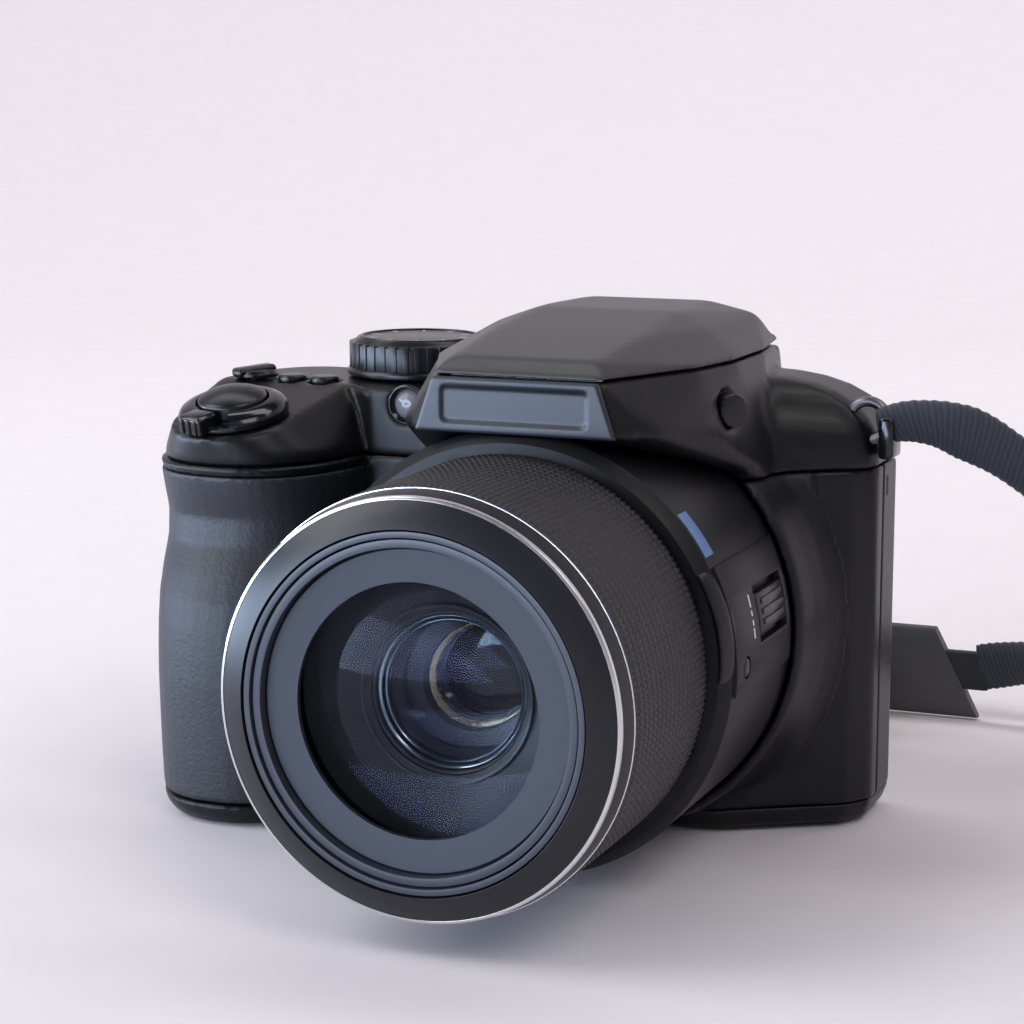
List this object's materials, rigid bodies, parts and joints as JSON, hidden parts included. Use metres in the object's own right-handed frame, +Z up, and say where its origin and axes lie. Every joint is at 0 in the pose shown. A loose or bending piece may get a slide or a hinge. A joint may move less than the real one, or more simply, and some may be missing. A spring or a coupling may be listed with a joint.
{
  "type": "bridge camera",
  "caption": "Bridge camera with a long fixed zoom lens, deep rubber grip, pop-up flash over an electronic viewfinder, turning dials, press buttons and a woven neck strap.",
  "frame": {"origin": "mouth of the tripod socket, in the plane of the base, directly below the lens axis", "axes": "+X towards the side with the strap in view (the user's left hand), -Y the way the lens looks, +Z up"},
  "size_m": [0.188, 0.1716, 0.0873],
  "materials": {
    "body_plastic": "fine-grained moulded black",
    "grip_rubber": "soft textured rubber",
    "front_plate": "satin black with a bare recess",
    "sleeve_plastic": "ribbed matte black",
    "gloss_black": "polished black",
    "inner_black": "matt black inner parts",
    "bezel_slate": "satin slate blue",
    "lens_glass": "coated glass",
    "circuit": "printed circuit board",
    "screen": "polished dark window",
    "steel": "plain bright metal",
    "cell_sleeve": "printed metal sleeve",
    "card": "moulded blue plastic",
    "lamp": "smoked red-brown window",
    "flash_clear": "clear ribbed window and tube",
    "lid_plastic": "warm dark grey moulded plastic",
    "control_plastic": "satin black controls",
    "webbing": "dark navy woven webbing",
    "pad_leather": "dark grey grained pad"
  },
  "bodies": {
    "camera_body": {"top_cover": "body_plastic", "front_cover": "body_plastic", "rear_cover": "body_plastic", "base_cover": "body_plastic", "grip_rubber": "grip_rubber", "thumb_rest": "grip_rubber", "front_plate": "front_plate", "lens_collar": "body_plastic", "ribbed_sleeve": "sleeve_plastic", "front_ring": "gloss_black", "lens_housing": "inner_black", "rear_lens_group": "lens_glass", "image_sensor": "circuit", "main_board": "circuit", "lcd_panel": "screen", "lcd_window": "screen", "viewfinder_module": "inner_black", "eyepiece_lens": "lens_glass", "eyecup": "grip_rubber", "battery_chamber": "inner_black", "battery_cells": "cell_sleeve", "battery_contacts": "steel", "memory_card": "card", "tripod_bush": "steel", "strap_lugs": "steel", "focus_lamp": "lamp", "flash_hinge_pin": "steel", "screws": "steel", "strap_left": "webbing", "strap_neck_pad": "pad_leather", "strap_right": "webbing"},
    "zoom_stage_outer": {"zoom_tube_outer": "inner_black"},
    "zoom_stage_inner": {"zoom_tube_inner": "inner_black", "front_bezel": "bezel_slate", "front_lens": "lens_glass", "lens_baffle": "inner_black", "inner_lens": "lens_glass"},
    "flash_head": {"flash_lid": "lid_plastic", "flash_reflector": "steel", "flash_window": "flash_clear", "flash_tube": "flash_clear"},
    "mode_dial": {"mode_dial": "control_plastic"},
    "command_dial": {"command_dial": "control_plastic"},
    "power_switch": {"power_switch": "control_plastic"},
    "zoom_lever": {"zoom_lever": "gloss_black"},
    "shutter_button": {"shutter_button": "control_plastic"},
    "exposure_button": {"exposure_button": "control_plastic"},
    "burst_button": {"burst_button": "control_plastic"},
    "flash_button": {"flash_button": "control_plastic"},
    "zoom_rocker": {"zoom_rocker": "control_plastic"},
    "collar_button": {"collar_button": "control_plastic"},
    "movie_button": {"movie_button": "control_plastic"},
    "playback_button": {"playback_button": "control_plastic"},
    "display_button": {"display_button": "control_plastic"},
    "finder_button": {"finder_button": "control_plastic"},
    "four_way_pad": {"four_way_pad": "control_plastic"},
    "ok_button": {"ok_button": "control_plastic"},
    "dioptre_wheel": {"dioptre_wheel": "control_plastic"},
    "battery_door": {"battery_door": "body_plastic"},
    "terminal_cover": {"terminal_cover": "grip_rubber"}
  },
  "joints": [
    {"name": "zoom_first_stage", "type": "slide", "parent": "camera_body", "child": "zoom_stage_outer", "axis": [0, -1, 0], "range_m": [0, 0.03]},
    {"name": "zoom_second_stage", "type": "slide", "parent": "zoom_stage_outer", "child": "zoom_stage_inner", "axis": [0, -1, 0], "range_m": [0, 0.03]},
    {"name": "flash_head_hinge", "type": "hinge", "parent": "camera_body", "child": "flash_head", "pos_m": [0, 0.0211, 0.082], "axis": [-1, 0, 0], "range_deg": [0, 50]},
    {"name": "mode_dial_turn", "type": "hinge", "parent": "camera_body", "child": "mode_dial", "pos_m": [-0.0405, 0.012, 0.076], "axis": [0, 0, 1], "continuous": true},
    {"name": "command_dial_turn", "type": "hinge", "parent": "camera_body", "child": "command_dial", "pos_m": [-0.059, 0.0168, 0.0663], "axis": [0, 0, 1], "continuous": true},
    {"name": "power_switch_turn", "type": "hinge", "parent": "camera_body", "child": "power_switch", "pos_m": [-0.066, -0.0015, 0.074], "axis": [0, 0, 1], "range_deg": [0, 35]},
    {"name": "zoom_lever_turn", "type": "hinge", "parent": "camera_body", "child": "zoom_lever", "pos_m": [-0.0602, -0.021, 0.06856], "axis": [0, -0.225, 0.9744], "range_deg": [-18, 18], "stiffness_Nm_per_rad": 0.05},
    {"name": "shutter_press", "type": "slide", "parent": "camera_body", "child": "shutter_button", "axis": [0, 0.225, -0.9744], "range_m": [0, 0.0006], "stiffness_N_per_m": 800},
    {"name": "exposure_press", "type": "slide", "parent": "camera_body", "child": "exposure_button", "axis": [0, 0, -1], "range_m": [0, 0.0006], "stiffness_N_per_m": 800},
    {"name": "burst_press", "type": "slide", "parent": "camera_body", "child": "burst_button", "axis": [0, 0, -1], "range_m": [0, 0.0006], "stiffness_N_per_m": 800},
    {"name": "flash_release_press", "type": "slide", "parent": "camera_body", "child": "flash_button", "axis": [-0.8191, 0.5736, 0], "range_m": [0, 0.0006], "stiffness_N_per_m": 800},
    {"name": "zoom_rocker_turn", "type": "hinge", "parent": "camera_body", "child": "zoom_rocker", "pos_m": [0, 0, 0.037], "axis": [0, -1, 0], "range_deg": [-1.5, 1.5], "stiffness_Nm_per_rad": 1.2},
    {"name": "collar_button_press", "type": "slide", "parent": "camera_body", "child": "collar_button", "axis": [-1, 0, 0], "range_m": [0, 0.0005], "stiffness_N_per_m": 800},
    {"name": "movie_press", "type": "slide", "parent": "camera_body", "child": "movie_button", "axis": [0, -1, 0], "range_m": [0, 0.0006], "stiffness_N_per_m": 800},
    {"name": "playback_press", "type": "slide", "parent": "camera_body", "child": "playback_button", "axis": [0, -1, 0], "range_m": [0, 0.0006], "stiffness_N_per_m": 800},
    {"name": "display_press", "type": "slide", "parent": "camera_body", "child": "display_button", "axis": [0, -1, 0], "range_m": [0, 0.0006], "stiffness_N_per_m": 800},
    {"name": "finder_press", "type": "slide", "parent": "camera_body", "child": "finder_button", "axis": [0, -1, 0], "range_m": [0, 0.0006], "stiffness_N_per_m": 800},
    {"name": "four_way_pad_tilt", "type": "hinge", "parent": "camera_body", "child": "four_way_pad", "pos_m": [-0.047, 0.0245, 0.028], "axis": [1, 0, 0], "range_deg": [-2, 2], "stiffness_Nm_per_rad": 0.5},
    {"name": "ok_press", "type": "slide", "parent": "camera_body", "child": "ok_button", "axis": [0, -1, 0], "range_m": [0, 0.0006], "stiffness_N_per_m": 800},
    {"name": "dioptre_turn", "type": "hinge", "parent": "camera_body", "child": "dioptre_wheel", "pos_m": [0.021, 0.026, 0.0702], "axis": [0, 1, 0], "range_deg": [-120, 120]},
    {"name": "battery_door_hinge", "type": "hinge", "parent": "camera_body", "child": "battery_door", "pos_m": [-0.0399, 0.008, 0.0016], "axis": [0, -1, 0], "range_deg": [0, 90]},
    {"name": "terminal_cover_hinge", "type": "hinge", "parent": "camera_body", "child": "terminal_cover", "pos_m": [-0.0714, 0.0175, 0.026], "axis": [0, 0, 1], "range_deg": [0, 90]}
  ],
  "couplings": [
    {"joint": "zoom_second_stage", "follows": "zoom_first_stage", "ratio": 1}
  ]
}
